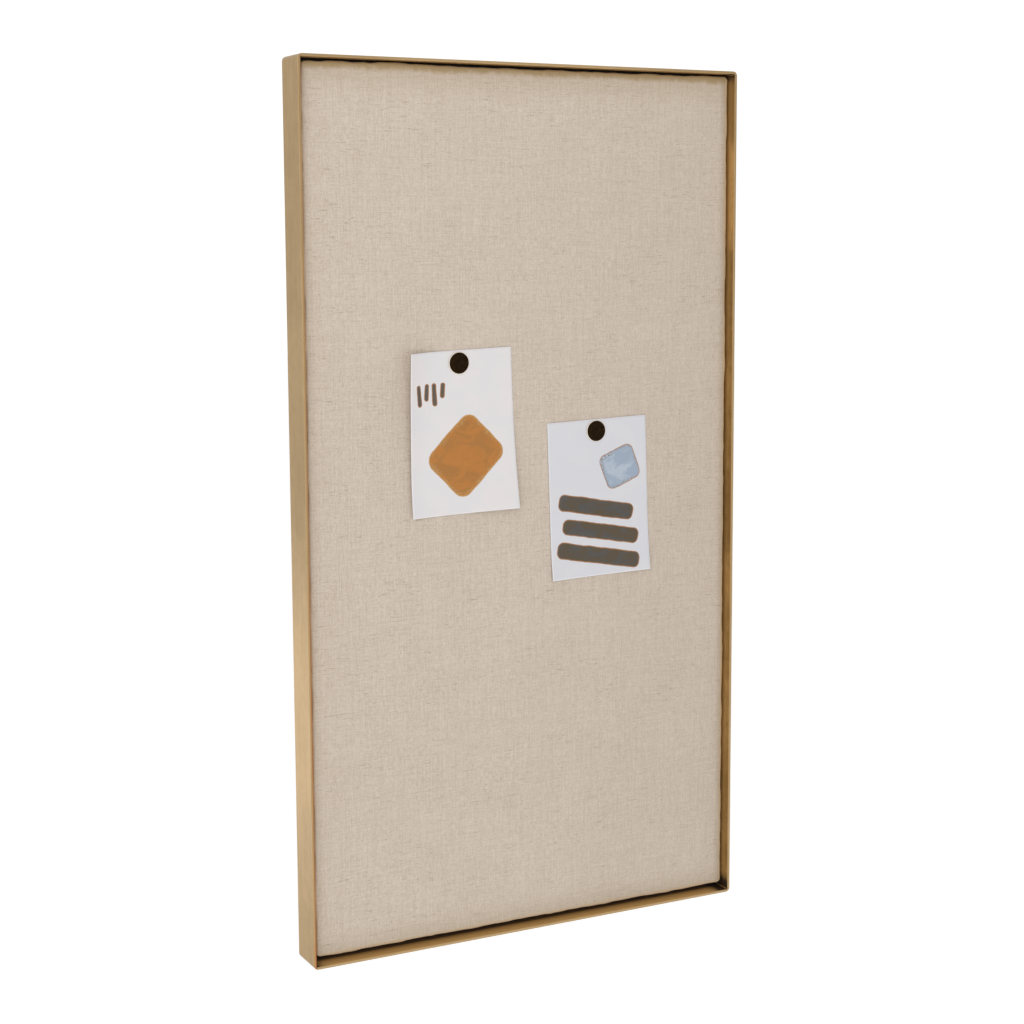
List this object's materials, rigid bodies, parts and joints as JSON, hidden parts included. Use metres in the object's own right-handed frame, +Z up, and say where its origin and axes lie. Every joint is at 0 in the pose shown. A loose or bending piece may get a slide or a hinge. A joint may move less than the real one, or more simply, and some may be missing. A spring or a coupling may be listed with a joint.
{
  "type": "pin board",
  "caption": "Tall wall pin board: a shallow brass strip frame round a linen-covered cork panel, with cards held by flat-headed pins.",
  "frame": {"origin": "on the wall plane, midway between the two hanging screws", "axes": "+Z up, +X to the right as seen from the front, and the front faces -Y"},
  "size_m": [0.533, 0.0495, 0.965],
  "materials": {
    "brass_strip": "antique patina, brushed, worn bright along its edges",
    "weld_bead": "burnt dark by the weld",
    "linen": "natural linen with slubs",
    "wadding": "thin felted wadding",
    "cork": "pressed cork granules",
    "backing_board": "black-stained fibreboard",
    "steel": "zinc plated",
    "rubber": "matte",
    "dark_bronze": "oil-rubbed dark bronze",
    "card_stock": "uncoated heavy card with a painted print"
  },
  "bodies": {
    "board": {"backing_board": "backing_board", "cork_core": "cork", "corner_weld_bottom_left": "weld_bead", "corner_weld_bottom_right": "weld_bead", "corner_weld_top_left": "weld_bead", "corner_weld_top_right": "weld_bead", "frame_rail_bottom": "brass_strip", "frame_rail_left": "brass_strip", "frame_rail_right": "brass_strip", "frame_rail_top": "brass_strip", "frame_tab_bottom_1": "brass_strip", "frame_tab_bottom_2": "brass_strip", "frame_tab_left_1": "brass_strip", "frame_tab_left_2": "brass_strip", "frame_tab_left_3": "brass_strip", "frame_tab_right_1": "brass_strip", "frame_tab_right_2": "brass_strip", "frame_tab_right_3": "brass_strip", "frame_tab_top_1": "brass_strip", "frame_tab_top_2": "brass_strip", "keyhole_plate_left": "steel", "keyhole_plate_right": "steel", "linen_cover": "linen", "panel_screw_1": "steel", "panel_screw_2": "steel", "panel_screw_3": "steel", "panel_screw_4": "steel", "panel_screw_5": "steel", "panel_screw_6": "steel", "plate_screw_left_lower": "steel", "plate_screw_left_upper": "steel", "plate_screw_right_lower": "steel", "plate_screw_right_upper": "steel", "tab_screw_bottom_1": "steel", "tab_screw_bottom_2": "steel", "tab_screw_left_1": "steel", "tab_screw_left_2": "steel", "tab_screw_left_3": "steel", "tab_screw_right_1": "steel", "tab_screw_right_2": "steel", "tab_screw_right_3": "steel", "tab_screw_top_1": "steel", "tab_screw_top_2": "steel", "wadding": "wadding", "wall_bumper_bottom_left": "rubber", "wall_bumper_bottom_right": "rubber", "wall_bumper_top_left": "rubber", "wall_bumper_top_right": "rubber"},
    "pin_left": {"pin_head_left": "dark_bronze", "pin_needle_left": "steel"},
    "card_left": {"card_left": "card_stock"},
    "pin_right": {"pin_head_right": "dark_bronze", "pin_needle_right": "steel"},
    "card_right": {"card_right": "card_stock"}
  },
  "joints": [
    {"name": "pin_left_pull", "type": "slide", "parent": "board", "child": "pin_left", "axis": [0, -1, 0], "range_m": [0, 0.012]},
    {"name": "card_left_swing", "type": "hinge", "parent": "pin_left", "child": "card_left", "pos_m": [-0.08453, -0.0375, -0.24999], "axis": [0, -1, 0], "range_deg": [-45, 10]},
    {"name": "pin_right_pull", "type": "slide", "parent": "board", "child": "pin_right", "axis": [0, -1, 0], "range_m": [0, 0.012]},
    {"name": "card_right_swing", "type": "hinge", "parent": "pin_right", "child": "card_right", "pos_m": [0.08597, -0.0375, -0.33192], "axis": [0, -1, 0], "range_deg": [-10, 45]}
  ]
}
